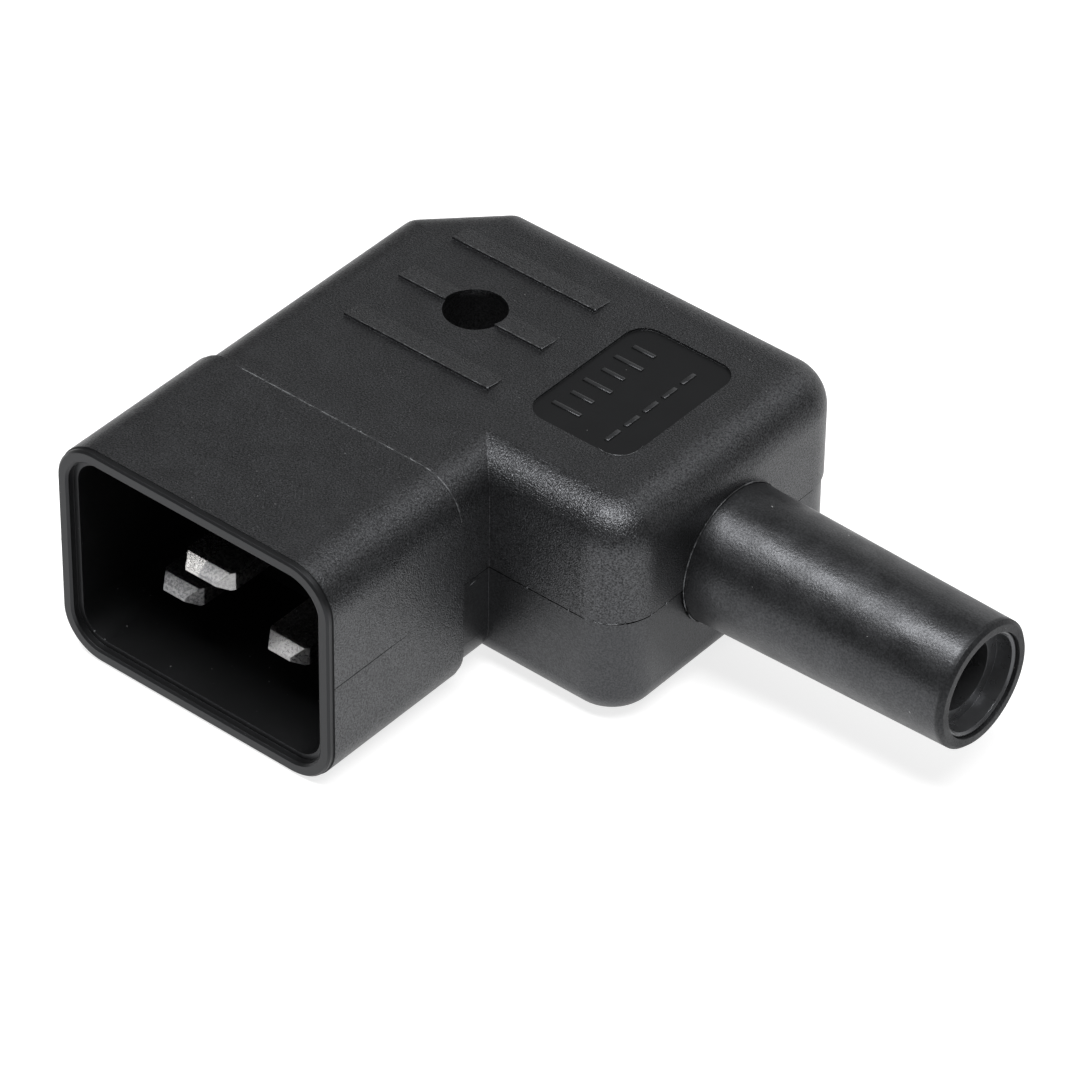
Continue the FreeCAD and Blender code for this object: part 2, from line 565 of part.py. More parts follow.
def make_cord_clamp():
    """Bar across the cord, hollowed to the cord and held by two screws."""
    half = CLAMP_LENGTH / 2
    bar = block(CLAMP_X - CLAMP_WIDTH / 2, CLAMP_X + CLAMP_WIDTH / 2, CORD_Y - half, CORD_Y + half,
                CLAMP_SEAT_Z, CLAMP_SEAT_Z + CLAMP_THICKNESS)
    upright = [edge for edge in bar.Edges if abs(edge.tangentAt(edge.FirstParameter).z) > 0.99]
    bar = bar.makeFillet(CLAMP_WIDTH / 3, upright)
    arch_wall = CLAMP_THICKNESS
    arch = cord_cylinder(CLAMP_CORD_RADIUS + arch_wall, CLAMP_X - CLAMP_WIDTH / 2,
                         CLAMP_X + CLAMP_WIDTH / 2)
    above = block(CLAMP_X - CLAMP_WIDTH, CLAMP_X + CLAMP_WIDTH, CORD_Y - half, CORD_Y + half,
                  CLAMP_SEAT_Z, HALF_HEIGHT)
    cord = cord_cylinder(CLAMP_CORD_RADIUS, CLAMP_X - CLAMP_WIDTH, CLAMP_X + CLAMP_WIDTH)
    holes = []
    for end in (-1, 1):
        y = CORD_Y + end * CLAMP_SCREW_SPACING / 2
        holes.append(post(CLAMP_X, y, 0, HALF_HEIGHT, CLAMP_SCREW + 2 * SCREW_FIT))
    return bar.fuse(arch.common(above)).cut([cord] + holes).removeSplitter()


def make_clamp_screw(end):
    """Screw at the front (-1) or the rear (1) end of the cord clamp."""
    y = CORD_Y + end * CLAMP_SCREW_SPACING / 2
    seat = CLAMP_SEAT_Z + CLAMP_THICKNESS + SCREW_FIT
    return slotted_screw(CLAMP_X, y, seat, CLAMP_SCREW_HEAD, CLAMP_SCREW_HEAD_HEIGHT,
                         CLAMP_SCREW, CLAMP_SCREW_LENGTH)


def make_housing_screw():
    """Screw at the bottom of the well."""
    return slotted_screw(0, HOUSING_SCREW_Y, WELL_FLOOR + SCREW_FIT, HOUSING_SCREW_HEAD,
                         HOUSING_SCREW_HEAD_HEIGHT, HOUSING_SCREW, HOUSING_SCREW_LENGTH)


def make_threaded_insert():
    """Brass insert in the lower shell's boss."""
    body = post(0, HOUSING_SCREW_Y, -INSERT_LENGTH - FIT, -FIT, INSERT_DIAMETER)
    return body.cut(post(0, HOUSING_SCREW_Y, -INSERT_LENGTH - 1, 1, HOUSING_SCREW + 2 * SCREW_FIT))


def build():
    """Every piece of the plug by its name."""
    parts = {
        "upper_shell": make_upper_shell(),
        "lower_shell": make_lower_shell(),
        "shroud_insert": make_shroud_insert(),
        "contact_plate": make_contact_plate(),
        "cord_sleeve": make_cord_sleeve(),
        "cord_bush": make_cord_bush(),
        "cord_clamp": make_cord_clamp(),
        "front_clamp_screw": make_clamp_screw(-1),
        "rear_clamp_screw": make_clamp_screw(1),
        "housing_screw": make_housing_screw(),
        "threaded_insert": make_threaded_insert(),
    }
    for name, width, tip, x, z in blade_places():
        parts[name + "_pin"] = make_blade(width, tip, x, z)
        parts[name + "_terminal_screw"] = make_terminal_screw(x, z)
        parts[name + "_wire_plate"] = make_wire_plate(x, z)
    return parts


os.makedirs("parts", exist_ok=True)
for node, shape in build().items():
    shape.exportStep("parts/" + node + ".step")
    print(node, len(shape.Solids), "solids, volume", round(shape.Volume, 1), "valid", shape.isValid())
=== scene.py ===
"""Looks of the angled power connector: materials, moulded details, floor, light and camera."""

import json
import math

import bpy
from mathutils import Matrix, Vector


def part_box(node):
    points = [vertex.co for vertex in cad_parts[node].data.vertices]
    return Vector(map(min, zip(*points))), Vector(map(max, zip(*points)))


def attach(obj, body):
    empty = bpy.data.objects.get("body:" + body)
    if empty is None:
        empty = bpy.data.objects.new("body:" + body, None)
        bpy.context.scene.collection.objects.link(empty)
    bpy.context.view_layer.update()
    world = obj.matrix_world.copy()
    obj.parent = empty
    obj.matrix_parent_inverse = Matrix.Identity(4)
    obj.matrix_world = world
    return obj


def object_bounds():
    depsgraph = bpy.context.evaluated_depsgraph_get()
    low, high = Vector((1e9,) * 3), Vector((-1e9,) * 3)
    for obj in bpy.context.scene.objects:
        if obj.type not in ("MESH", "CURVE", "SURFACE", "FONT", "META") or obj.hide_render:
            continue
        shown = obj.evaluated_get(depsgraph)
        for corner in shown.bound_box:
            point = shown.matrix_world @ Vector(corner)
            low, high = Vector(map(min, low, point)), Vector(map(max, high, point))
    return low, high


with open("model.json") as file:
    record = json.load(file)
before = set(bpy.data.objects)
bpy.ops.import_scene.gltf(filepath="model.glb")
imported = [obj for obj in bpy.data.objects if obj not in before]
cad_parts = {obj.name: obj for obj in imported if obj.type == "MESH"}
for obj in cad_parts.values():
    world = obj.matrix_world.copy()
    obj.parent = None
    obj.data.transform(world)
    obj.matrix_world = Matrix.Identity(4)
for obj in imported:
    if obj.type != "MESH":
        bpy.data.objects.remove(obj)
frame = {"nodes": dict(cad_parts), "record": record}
NODES = frame["nodes"]
CAD_LOW, CAD_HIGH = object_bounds()
MM = 0.001

# The CAD's frame: X towards the cord, Y from the mouth to the rear, Z up from the parting plane
X_AXIS, Y_AXIS, Z_AXIS = Vector((1, 0, 0)), Vector((0, 1, 0)), Vector((0, 0, 1))

# Sizes that the materials and the moulded details share with the solids
GRIP_COUNT = 3
GRIP_WITH_WELL = 1
GRIP_FIRST = 31.15 * MM
GRIP_PITCH = 7.8 * MM
GRIP_LENGTH = 17.6 * MM
GRIP_HEIGHT = 0.28 * MM
GRIP_RAMP = 2.4 * MM
WELL_RADIUS = 3.15 * MM
WELL_Y = 39.8 * MM
RECESS_LOW = Vector((12.95, 31.15, 0)) * MM
RECESS_HIGH = Vector((24.95, 48.45, 0)) * MM
RECESS_CORNER = 2.3 * MM
RECESS_DEPTH = 0.25 * MM
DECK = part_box("upper_shell")[1].z - GRIP_HEIGHT
ARM_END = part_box("upper_shell")[1].x
ARM_FRONT = 22.85 * MM
ARM_FRONT_ROUND = 4.9 * MM
SHROUD_LOW, SHROUD_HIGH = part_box("shroud_insert")
SHROUD_EDGE = 18.3 * MM
SHROUD_CORNER = 4.8 * MM
SLEEVE_LOW, SLEEVE_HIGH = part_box("cord_sleeve")
SLEEVE_ROOT = 7.1 * MM
CORD_Y = (SLEEVE_LOW.y + SLEEVE_HIGH.y) / 2

# Gloss of non-metals: the head-on reflection at shine 1, the shader's level that leaves its
# index as it is, and a slightly cool tint
FULL_SHINE = 0.08
PLAIN_LEVEL = 0.5
COOL_GLOSS = (0.93, 0.95, 1.0, 1.0)

# Floor, in metres: half its side and its gap under the connector. Then its own grey, the light
# that the camera sees added to it, and the light that reflections see added, which fades out
# between two places behind the mouth
FLOOR_HALF = 6.0
FLOOR_GAP = 0.02 * MM
FLOOR_GREY = 0.46
FLOOR_SEEN = 0.78
FLOOR_GLOSS = 0.62
FLOOR_GLOSS_FRONT, FLOOR_GLOSS_REAR = 0.04, 0.20

# Room that lights the object: its level at the horizon and overhead, and the glow at its rear,
# by how far a direction points to the rear
ROOM_LEVEL, ROOM_OVERHEAD = 0.12, 0.24
REAR_START, REAR_FULL, REAR_GLOW = 0.68, 0.92, 0.8
LAMP_DISTANCE = 1.0

# Camera: its place in metres, its turns in degrees, its lens in millimetres
CAMERA_PLACE = (0.31150, -0.33000, 0.38210)
CAMERA_AZIMUTH, CAMERA_ELEVATION, CAMERA_ROLL = 39.4137, 39.4226, 0.7790
CAMERA_LENS, CAMERA_SENSOR = 218.69, 36.0
CAMERA_NEAR, CAMERA_FAR = 0.01, 20.0


# ---------------------------------------------------------------- node helpers


class Graph:
    """Node tree of a material or a world, with one short call for each node it needs."""

    # Sockets of the Mix node, by the kind of value: first, second and result
    MIX_SOCKETS = {"FLOAT": (2, 3, 0), "RGBA": (6, 7, 2)}

    def __init__(self, owner, output="ShaderNodeOutputMaterial"):
        owner.use_nodes = True
        self.owner = owner
        self.tree = owner.node_tree
        self.tree.nodes.clear()
        self.output = self.tree.nodes.new(output)

    def node(self, kind, settings=None, **inputs):
        made = self.tree.nodes.new(kind)
        for name, value in (settings or {}).items():
            setattr(made, name, value)
        for name, value in inputs.items():
            self.feed(made, name.replace("_", " "), value)
        return made

    def feed(self, made, key, value):
        """Links a socket, or sets a plain value. key is the input's name or number."""
        if isinstance(value, bpy.types.NodeSocket):
            self.tree.links.new(value, made.inputs[key])
        else:
            made.inputs[key].default_value = value

    def math(self, operation, first, second=0.0, third=0.0, clamp=False):
        made = self.node("ShaderNodeMath", {"operation": operation, "use_clamp": clamp})
        for index, value in enumerate((first, second, third)):
            self.feed(made, index, value)
        return made.outputs[0]

    def ramp(self, value, low, high, low_out=0.0, high_out=1.0, smooth=True):
        """low_out up to low and high_out from high on, with a slope between them."""
        slope = "SMOOTHSTEP" if smooth else "LINEAR"
        made = self.node(
            "ShaderNodeMapRange", {"interpolation_type": slope, "clamp": True},
            Value=value, From_Min=low, From_Max=high, To_Min=low_out, To_Max=high_out,
        )
        return made.outputs["Result"]

    def within(self, value, low, high, blur=0.01 * MM):
        """1 where a value lies between low and high, with soft ends."""
        rise = self.ramp(value, low - blur, low + blur)
        fall = self.ramp(value, high - blur, high + blur)
        return self.math("SUBTRACT", rise, fall, clamp=True)

    def all_of(self, *masks):
        result = masks[0]
        for mask in masks[1:]:
            result = self.math("MULTIPLY", result, mask)
        return result

    def blend(self, factor, first, second):
        """A number that goes from first, where factor is 0, to second, where it is 1."""
        return self.math("MULTIPLY_ADD", factor, self.math("SUBTRACT", second, first), first)

    def dim(self, mask, share):
        """1, less a share of it where the mask is 1."""
        return self.math("MULTIPLY_ADD", mask, -share, 1.0)

    def mix(self, factor, first, second, kind="RGBA"):
        """A colour, or with kind FLOAT a number, that goes from first to second."""
        first_socket, second_socket, result = self.MIX_SOCKETS[kind]
        made = self.node("ShaderNodeMix", {"data_type": kind})
        for key, value in ((0, factor), (first_socket, first), (second_socket, second)):
            self.feed(made, key, value)
        return made.outputs[result]

    def place(self):
        """Object coordinates: metres in the CAD's frame."""
        return self.node("ShaderNodeTexCoord").outputs["Object"]

    def axes(self, vector):
        made = self.node("ShaderNodeSeparateXYZ", Vector=vector)
        return made.outputs["X"], made.outputs["Y"], made.outputs["Z"]

    def noise(self, place, size, detail=2.0, roughness=0.5, stretch=None):
        """Noise whose features are about size metres across."""
        if stretch is not None:
            place = self.node("ShaderNodeMapping", Vector=place, Scale=stretch).outputs["Vector"]
        made = self.node("ShaderNodeTexNoise", Vector=place, Scale=1.0 / size, Detail=detail,
                         Roughness=roughness)
        return made.outputs["Fac"]

    def rounded_normal(self, radius):
        """Normal that softens the solid's sharp edges."""
        return self.node("ShaderNodeBevel", {"samples": 6}, Radius=radius).outputs["Normal"]

    def bump(self, height, strength, distance, normal):
        return self.node("ShaderNodeBump", Height=height, Strength=strength, Distance=distance,
                         Normal=normal).outputs["Normal"]

    def surface(self, colour, roughness, normal, metallic=0.0, shine=0.5, shade=None):
        """Principled surface. shine sets how much light it reflects head on, with 0.5 for an
        index of 1.5. shade, where given, is a mask that weakens or strengthens that."""
        head_on = math.sqrt(FULL_SHINE * shine)
        shader = self.node(
            "ShaderNodeBsdfPrincipled", Base_Color=colour, Roughness=roughness, Normal=normal,
            Metallic=metallic, IOR=(1 + head_on) / (1 - head_on),
        )
        if shade is not None:
            level = self.math("MULTIPLY", shade, PLAIN_LEVEL)
            self.feed(shader, "Specular IOR Level", level)
        if not metallic:
            self.feed(shader, "Specular Tint", COOL_GLOSS)
        self.feed(self.output, "Surface", shader.outputs["BSDF"])
        return self.owner


def new_material(name):
    return Graph(bpy.data.materials.new(name))


def grey(value, tint=0.0):
    """A grey, made slightly cool by tint."""
    return (value * (1 - tint), value, value * (1 + 2 * tint), 1.0)


def dusty(graph, place, colour, size, cover, dust):
    """colour under sparse dust: small grey dots where a fine noise peaks."""
    peaks = graph.noise(place, size, detail=0.0)
    dots = graph.ramp(peaks, 0.88, 0.90)
    return graph.mix(graph.math("MULTIPLY", dots, cover), colour, grey(dust))


# ---------------------------------------------------------------- materials


def textured_plastic(name, masks, polish, low_grain):
    """Black thermoplastic with a spark-eroded grain. masks gives where it is polished and where
    painted shade darkens it, polish how rough it is there, and low_grain how strong
    the grain is under the parting plane."""
    base, shine = 0.005, 0.78
    dull_low, dull_high = 0.32, 0.38
    grain_size, grain_depth = 0.14 * MM, 0.06 * MM
    sparkle_size, patch_size = 0.17 * MM, 3.0 * MM
    parting_blur = 2 * MM
    graph = new_material(name)
    place = graph.place()
    # line is painted shade: under the joint of the shells, in the screw well and along a mould
    # line
    smooth, line = masks(graph, place)
    rough = graph.math("SUBTRACT", 1.0, smooth)
    height = graph.axes(place)[2]
    grainy = graph.math("MULTIPLY", rough,
                        graph.ramp(height, -parting_blur, parting_blur, low_grain, 1.0))
    rounded = graph.rounded_normal(0.05 * MM)
    fine = graph.noise(place, grain_size, detail=1.0, roughness=0.6)
    broad = graph.noise(place, patch_size, detail=3.0)
    normal = graph.bump(fine, grainy, grain_depth, rounded)
    roughness = graph.blend(rough, polish, graph.ramp(broad, 0.3, 0.7, dull_low, dull_high))
    patches = graph.ramp(broad, 0.35, 0.75, 0.0, 0.35)
    colour = graph.mix(patches, grey(base, 0.02), grey(base * 1.5, 0.03))
    colour = dusty(graph, place, colour, 0.30 * MM, 0.35, 0.30)
    # Painted shade: where line is 1 the plastic is near black, fully rough and without reflection
    colour = graph.mix(line, colour, grey(0.001))
    glints = graph.noise(place, sparkle_size, detail=1.0)
    sparkle = graph.blend(grainy, 1.0, graph.ramp(glints, 0.32, 0.68, 0.42, 1.62, smooth=False))
    dimmed = graph.dim(smooth, 0.45)
    shade = graph.all_of(graph.math("SUBTRACT", 1.0, line), sparkle, dimmed)
    roughness = graph.math("MAXIMUM", roughness, line)
    return graph.surface(colour, roughness, normal, shine=shine, shade=shade)


def housing_masks(graph, place):
    """The floor of the rating recess is polished. Painted shade lies under the upper shell's
    edge, down to a wandering line, and in the screw well, where it fades out towards the top."""
    margin, front_margin = MM, 0.3 * MM
    seam_top, seam_least, seam_most = -0.005 * MM, -0.30 * MM, -0.37 * MM
    well_reach, well_full, well_clear = WELL_RADIUS + 0.02 * MM, DECK - 1.0 * MM, DECK - 0.1 * MM
    x, y, z = graph.axes(place)
    field = graph.all_of(
        graph.within(z, DECK - 2 * RECESS_DEPTH, DECK - RECESS_DEPTH / 2),
        graph.within(x, RECESS_LOW.x - margin, RECESS_HIGH.x + margin),
        graph.within(y, RECESS_LOW.y - front_margin, RECESS_HIGH.y + margin),
    )
    facing = graph.axes(graph.node("ShaderNodeNewGeometry").outputs["Normal"])[2]
    smooth = graph.math("MULTIPLY", field, graph.math("GREATER_THAN", facing, 0.999))
    # painted shade under the upper shell's overhanging edge, down to a wandering line
    wander = graph.noise(place, 1.5 * MM, detail=2.0)
    low_edge = graph.ramp(wander, 0.3, 0.7, seam_least, seam_most, smooth=False)
    seam_shade = graph.math("MULTIPLY", graph.math("GREATER_THAN", z, low_edge),
                      graph.math("LESS_THAN", z, seam_top))
    from_screw = graph.math("SUBTRACT", y, WELL_Y)
    radius = graph.math("SQRT", graph.math("ADD", graph.math("MULTIPLY", x, x),
                                           graph.math("MULTIPLY", from_screw, from_screw)))
    # painted shade in the screw well, fading out towards its top
    well_shade = graph.math("MULTIPLY", graph.math("LESS_THAN", radius, well_reach),
                      graph.ramp(z, well_full, well_clear, 0.7, 0.0))
    return smooth, graph.math("MAXIMUM", seam_shade, well_shade)


def shroud_masks(graph, place):
    """The lip and all that is inside the mouth are polished. A mould line runs along the side,
    painted dark as the shade in its groove, and fades to the rear."""
    lip_depth, outer_skin = 0.72 * MM, 0.6 * MM
    mould_low, mould_high, mould_blur = -0.24 * MM, -0.12 * MM, 0.03 * MM
    fade_start, fade_end = 6 * MM, 16 * MM
    x, y, z = graph.axes(place)
    lip = graph.math("LESS_THAN", y, lip_depth)
    beyond = []
    for along, half in ((x, SHROUD_HIGH.x), (z, SHROUD_HIGH.z)):
        past = graph.math("SUBTRACT", graph.math("ABSOLUTE", along), half - SHROUD_CORNER)
        past = graph.math("MAXIMUM", past, 0.0)
        beyond.append(graph.math("MULTIPLY", past, past))
    reach = graph.math("SQRT", graph.math("ADD", *beyond))
    inside = graph.math("LESS_THAN", reach, SHROUD_CORNER - outer_skin)
    smooth = graph.math("MAXIMUM", lip, inside)
    # painted shade along the mould line on the side, fading to the rear
    side = graph.math("GREATER_THAN", x, SHROUD_HIGH.x - 0.01 * MM)
    fading = graph.ramp(y, fade_start, fade_end, 0.8, 0.0)
    mould_line_shade = graph.within(z, mould_low, mould_high, mould_blur)
    return smooth, graph.all_of(side, mould_line_shade, fading)


def sleeve_rubber():
    """Satin rubber, with faint flow marks round it and a little dust. Its mouth is dull."""
    flow_size, fine_size, smudge_size = 2.2 * MM, 0.20 * MM, 3.5 * MM
    mouth_start, mouth_full = 0.9 * MM, 0.5 * MM
    graph = new_material("sleeve_rubber")
    place = graph.place()
    rounded = graph.rounded_normal(0.15 * MM)
    flow = graph.noise(place, flow_size, detail=3.0, stretch=(0.5, 1.0, 1.0))
    fine = graph.noise(place, fine_size, detail=2.0)
    height = graph.math("MULTIPLY_ADD", fine, 0.40, flow)
    normal = graph.bump(height, 0.46, 0.10 * MM, rounded)
    smudge = graph.noise(place, smudge_size, detail=3.0, roughness=0.6)
    x = graph.axes(place)[0]
    mouth = graph.ramp(x, SLEEVE_HIGH.x - mouth_start, SLEEVE_HIGH.x - mouth_full)
    satin = graph.ramp(smudge, 0.30, 0.70, 0.32, 0.44)
    roughness = graph.math("MULTIPLY_ADD", mouth, 0.15, satin)
    specks = graph.ramp(fine, 0.35, 0.7, 0.0, 0.4)
    colour = graph.mix(specks, grey(0.004, 0.03), grey(0.008, 0.03))
    colour = dusty(graph, place, colour, 0.4 * MM, 0.6, 0.35)
    sparkle = graph.ramp(fine, 0.32, 0.68, 0.72, 1.28, smooth=False)
    shade = graph.math("MULTIPLY", sparkle, graph.dim(mouth, 0.45))
    return graph.surface(colour, roughness, normal, shine=0.82, shade=shade)


def smooth_plastic(name, base=0.012, gloss=0.32, shine=0.5, uneven=0.0):
    """Plain moulded plastic with faint flow marks. uneven breaks its shine into glints, and
    paints them into its colour as lighter patches: painted glints.
    """
    graph = new_material(name)
    place = graph.place()
    rounded = graph.rounded_normal(0.08 * MM)
    flow = graph.noise(place, 1.2 * MM, detail=3.0)
    normal = graph.bump(flow, 0.12, 0.05 * MM, rounded)
    roughness = graph.ramp(flow, 0.3, 0.7, gloss - 0.04, gloss + 0.06)
    if uneven == 0.0:
        return graph.surface(grey(base, 0.02), roughness, normal, shine=shine)
    patches = graph.noise(place, 0.9 * MM, detail=2.0, roughness=0.7)
    painted_glint = graph.ramp(patches, 0.42, 0.60, 1.0 - uneven, 1.0)
    # painted glints: the colour is lighter where the glints are
    colour = graph.mix(painted_glint, grey(base * (1.0 - uneven), 0.02), grey(base, 0.02))
    return graph.surface(colour, roughness, normal, shine=shine, shade=painted_glint)


def blade_metal():
    """Plated metal with lines along the blade and handling marks. The line blade is the dullest,
    the neutral blade less so, and the earth blade has a bright patch left of its middle."""
    bright_low, bright_high = (0.46, 0.45, 0.44, 1), (0.66, 0.65, 0.64, 1)
    darker_low, darker_high = (0.18, 0.18, 0.19, 1), (0.42, 0.42, 0.42, 1)
    patch_x, patch_half, patch_reach = -2.0 * MM, 1.5 * MM, 2.0 * MM
    neutral_side, neutral_darkening = 3.0 * MM, 0.60
    graph = new_material("blade_metal")
    place = graph.place()
    x = graph.axes(place)[0]
    rounded = graph.rounded_normal(0.10 * MM)
    lines = graph.noise(place, 0.22 * MM, detail=3.0, roughness=0.7, stretch=(1.0, 0.06, 1.0))
    marks = graph.noise(place, 0.30 * MM, detail=4.0, roughness=0.8)
    height = graph.math("MULTIPLY_ADD", marks, 0.6, lines)
    normal = graph.bump(height, 0.25, 0.03 * MM, rounded)
    from_patch = graph.math("ABSOLUTE", graph.math("ADD", x, -patch_x))
    dull = graph.ramp(from_patch, patch_half, patch_reach)
    dull = graph.math("MULTIPLY", dull, graph.ramp(x, 0.0, neutral_side, 1.0, neutral_darkening))
    clean = graph.ramp(marks, 0.35, 0.7, 0.20, 0.38)
    roughness = graph.math("MULTIPLY_ADD", dull, 0.10, clean)
    bright = graph.mix(graph.ramp(lines, 0.3, 0.7), bright_low, bright_high)
    # darker, rougher metal away from the bright patch, darkest on the line blade
    darker_metal = graph.mix(graph.ramp(marks, 0.4, 0.6), darker_low, darker_high)
    return graph.surface(graph.mix(dull, bright, darker_metal), roughness, normal, metallic=1.0)


def turned_metal(name, colour_low, colour_high, gloss):
    """Metal with fine turning lines."""
    graph = new_material(name)
    place = graph.place()
    rounded = graph.rounded_normal(0.10 * MM)
    turned = graph.noise(place, 0.18 * MM, detail=2.0, stretch=(1.0, 1.0, 0.2))
    normal = graph.bump(turned, 0.15, 0.02 * MM, rounded)
    colour = graph.mix(graph.ramp(turned, 0.3, 0.7), colour_low, colour_high)
    roughness = graph.ramp(turned, 0.3, 0.7, gloss, gloss + 0.1)
    return graph.surface(colour, roughness, normal, metallic=1.0)


STEEL_LOW, STEEL_HIGH = (0.52, 0.53, 0.54, 1), (0.62, 0.62, 0.63, 1)
BRASS_LOW, BRASS_HIGH = (0.70, 0.52, 0.24, 1), (0.78, 0.60, 0.30, 1)
MATERIALS = {
    "housing_plastic": textured_plastic("housing_plastic", housing_masks, 0.30, low_grain=0.4),
    "shroud_plastic": textured_plastic("shroud_plastic", shroud_masks, 0.38, low_grain=1.0),
    "sleeve_rubber": sleeve_rubber(),
    "bush_plastic": smooth_plastic("bush_plastic", base=0.046, gloss=0.30, shine=1.0),
    "clamp_plastic": smooth_plastic("clamp_plastic", gloss=0.4),
    "screw_steel": turned_metal("screw_steel", STEEL_LOW, STEEL_HIGH, gloss=0.28),
    "insert_brass": turned_metal("insert_brass", BRASS_LOW, BRASS_HIGH, gloss=0.25),
    "blade_metal": blade_metal(),
}
# Burrs and nibs of flash: their light grey, far above the housing's, is painted highlight for
# their glints
FLASH_PAINTED_GLINTS = smooth_plastic("flash_painted_glints", base=0.09, gloss=0.30, shine=1.0, uneven=0.78)
RAISED = smooth_plastic("raised_plastic", base=0.016, gloss=0.30, shine=0.6)
SLOT_OF = {part["node"]: part["material_slot"] for part in frame["record"]["subparts"]}
for node_name, node_object in NODES.items():
    for material_slot in node_object.material_slots:
        material_slot.material = MATERIALS[SLOT_OF[node_name]]


# ---------------------------------------------------------------- small moulded details


def link(item):
    """Puts an object into the scene."""
    bpy.context.scene.collection.objects.link(item)
    return item


def straight(first, second, steps):
    """Points from first to second at even steps."""
    return [first.lerp(second, step / steps) for step in range(steps + 1)]


def on_circle(centre, radius, degrees, axes=(X_AXIS, Y_AXIS)):
    """Point of a circle, at an angle from its first axis towards its second."""
    angle = math.radians(degrees)
    return centre + (axes[0] * math.cos(angle) + axes[1] * math.sin(angle)) * radius


def arc(centre, radius, start, end, steps, axes=(X_AXIS, Y_AXIS)):
    """Points of an arc at even steps."""
    return [on_circle(centre, radius, start + (end - start) * step / steps, axes)
            for step in range(steps + 1)]


class Shape:
    """Vertices and faces of one piece, gathered from several simple forms."""

    def __init__(self):
        self.vertices = []
        self.faces = []

    def band(self, low, sides, rise):
        """Quads between the ring of vertices that starts at low and the one rise after it."""
        for step in range(sides):
            beside = (step + 1) % sides
            self.faces.append((low + step, low + beside, low + rise + beside, low + rise + step))

    def cap(self, start, sides, upwards):
        """Flat face over a ring of vertices."""
        ring = range(start, start + sides)
        self.faces.append(tuple(ring if upwards else reversed(ring)))

    def line(self, points, radius, sides=6, tip=0.15):
        """Thin round line through points, which tapers at both ends."""
        start = len(self.vertices)
        last = len(points) - 1
        for index, point in enumerate(points):
            along = (points[min(index + 1, last)] - points[max(index - 1, 0)]).normalized()
            side = along.orthogonal() if abs(along.z) > 0.9 else along.cross(Z_AXIS)
            side.normalize()
            other = along.cross(side)
            reach = radius * (tip if index in (0, last) else 1.0)
            for step in range(sides):
                angle = 2 * math.pi * step / sides
                spoke = side * math.cos(angle) + other * math.sin(angle)
                self.vertices.append(point + spoke * reach)
        for ring in range(last):
            self.band(start + ring * sides, sides, sides)
        self.cap(start, sides, upwards=False)
        self.cap(start + last * sides, sides, upwards=True)

    def bead(self, centre, radius, sides=8, rings=4):
        """Small round grain."""
        start = len(self.vertices)
        for ring in range(1, rings):
            polar = math.pi * ring / rings
            girth, rise = math.sin(polar), math.cos(polar)
            for step in range(sides):
                angle = 2 * math.pi * step / sides
                spoke = Vector((girth * math.cos(angle), girth * math.sin(angle), rise))
                self.vertices.append(centre + spoke * radius)
        self.vertices += [centre + Z_AXIS * radius, centre - Z_AXIS * radius]
        top = len(self.vertices) - 2
        for step in range(sides):
            beside = (step + 1) % sides
            self.faces.append((start + step, start + beside, top))
            for ring in range(rings - 2):
                low = start + ring * sides
                high = low + sides
                self.faces.append((low + step, high + step, high + beside, low + beside))
            low = start + (rings - 2) * sides
            self.faces.append((low + step, top + 1, low + beside))

    def bar(self, centre, along, length, width, height, shoulder=0.6, top=0.6):
        """Raised bar on a flat field, with its edges drawn in from the shoulder to the top."""
        across = Vector((-along.y, along.x, 0))
        start = len(self.vertices)
        for lift, share in ((0.0, 1.0), (height * shoulder, 1.0), (height, top)):
            inset = (1 - share) * width / 2
            for end, edge in ((-1, -1), (1, -1), (1, 1), (-1, 1)):
                self.vertices.append(centre + along * end * (length / 2 - inset)
                                     + across * edge * (width / 2 - inset) + Z_AXIS * lift)
        self.band(start, 4, 4)
        self.band(start + 4, 4, 4)
        self.cap(start + 8, 4, upwards=True)
        self.cap(start, 4, upwards=False)

    def make_piece(self, name, material):
        """The piece itself, with smooth shading. It moves with the connector."""
        mesh = bpy.data.meshes.new(name)
        mesh.from_pydata(self.vertices, [], self.faces)
        mesh.update()
        mesh.polygons.foreach_set("use_smooth", [True] * len(mesh.polygons))
        mesh.materials.append(material)
        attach(link(bpy.data.objects.new(name, mesh)), "root")


def make_grip_edges():
    """Burr along the top of each grip's step and down its end, with a nib at the corner."""
    step_burr, end_burr, nib = 0.045 * MM, 0.04 * MM, 0.13 * MM
    shape = Shape()
    half = GRIP_LENGTH / 2
    top = DECK + GRIP_HEIGHT
    for index in range(GRIP_COUNT):
        y = GRIP_FIRST + index * GRIP_PITCH
        spans = [(-half, half)]
        if index == GRIP_WITH_WELL:
            spans = [(-half, -WELL_RADIUS), (WELL_RADIUS, half)]
        for low, high in spans:
            shape.line(straight(Vector((low, y, top)), Vector((high, y, top)), 12), step_burr)
        corner = Vector((half, y, top))
        run_out = Vector((half, y + GRIP_RAMP, DECK))
        shape.line(straight(corner, run_out, 4), end_burr)
        shape.bead(corner, nib)
    shape.make_piece("grip_edges", FLASH_PAINTED_GLINTS)


